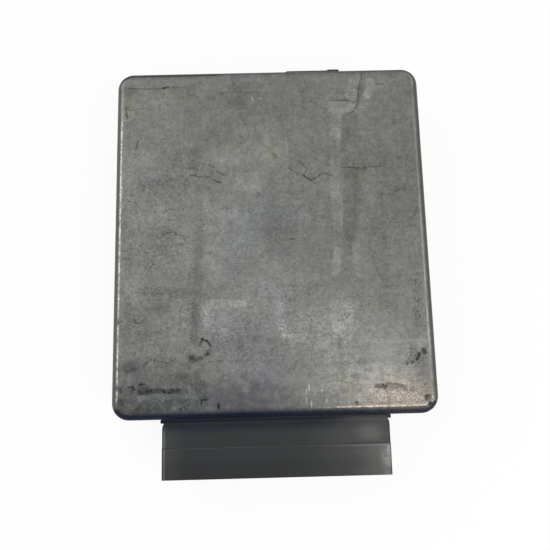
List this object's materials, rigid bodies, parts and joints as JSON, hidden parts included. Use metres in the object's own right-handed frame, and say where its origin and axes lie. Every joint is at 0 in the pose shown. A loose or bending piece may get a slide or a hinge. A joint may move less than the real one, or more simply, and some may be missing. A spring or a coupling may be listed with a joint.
{
  "type": "engine control unit",
  "caption": "Engine control unit: flat die-cast housing with rounded edges, a pressed cover below and a wide dark plastic pin header at the front for the harness plug.",
  "frame": {"origin": "centre of the cover's raised panel, the flat face on which the unit rests", "axes": "+Z out of the plain face of the housing, -Y the way the header's mouth faces, +X to the right seen from above with the header towards the viewer"},
  "size_m": [0.165, 0.2172, 0.04],
  "materials": {
    "cast_aluminium": "worn die-cast aluminium, dull grey, stained and scratched",
    "sheet_aluminium": "rolled sheet, satin",
    "seal_rubber": "matte black bead",
    "plated_steel": "zinc plated, slightly yellow",
    "header_plastic": "dark grey glass-filled plastic, fine grain",
    "turned_brass": "turned brass",
    "cap_plastic": "matte black plastic",
    "gilt_contact": "thin gold over nickel",
    "board_laminate": "green solder resist over laminate",
    "tinned_lead": "tinned",
    "chip_moulding": "black moulding compound",
    "pad_silicone": "filled silicone",
    "spring_steel": "plain spring strip",
    "crystal_can": "nickel-plated can",
    "capacitor_sleeve": "shrunk plastic sleeve",
    "film_case": "moulded case",
    "ferrite": "ferrite",
    "copper_wire": "enamelled wire",
    "suppressor_coat": "dipped coating",
    "chip_ceramic": "black glaze",
    "capacitor_ceramic": "bare ceramic"
  },
  "bodies": {
    "root": {"housing": "cast_aluminium", "cover": "sheet_aluminium", "cover_seal": "seal_rubber", "cover_screws": "plated_steel", "header": "header_plastic", "header_seal": "seal_rubber", "header_screws": "plated_steel", "jack_insert": "turned_brass", "service_cap": "cap_plastic", "port_fingers": "gilt_contact", "circuit_board": "board_laminate", "board_screws": "plated_steel", "pin_row_1": "gilt_contact", "pin_row_2": "gilt_contact", "pin_row_3": "gilt_contact", "pin_row_4": "gilt_contact", "transistor_tabs": "tinned_lead", "transistor_bodies": "chip_moulding", "thermal_pads": "pad_silicone", "spring_clips": "spring_steel", "processor": "chip_moulding", "processor_leads": "tinned_lead", "memory_chip": "chip_moulding", "memory_leads": "tinned_lead", "driver_chips": "chip_moulding", "driver_leads": "tinned_lead", "logic_chips": "chip_moulding", "logic_leads": "tinned_lead", "crystal": "crystal_can", "electrolytic_capacitors": "capacitor_sleeve", "film_capacitors": "film_case", "choke_core": "ferrite", "choke_winding": "copper_wire", "rectifier_diodes": "chip_moulding", "suppressor": "suppressor_coat", "chip_resistors": "chip_ceramic", "chip_capacitors": "capacitor_ceramic"}
  },
  "joints": []
}
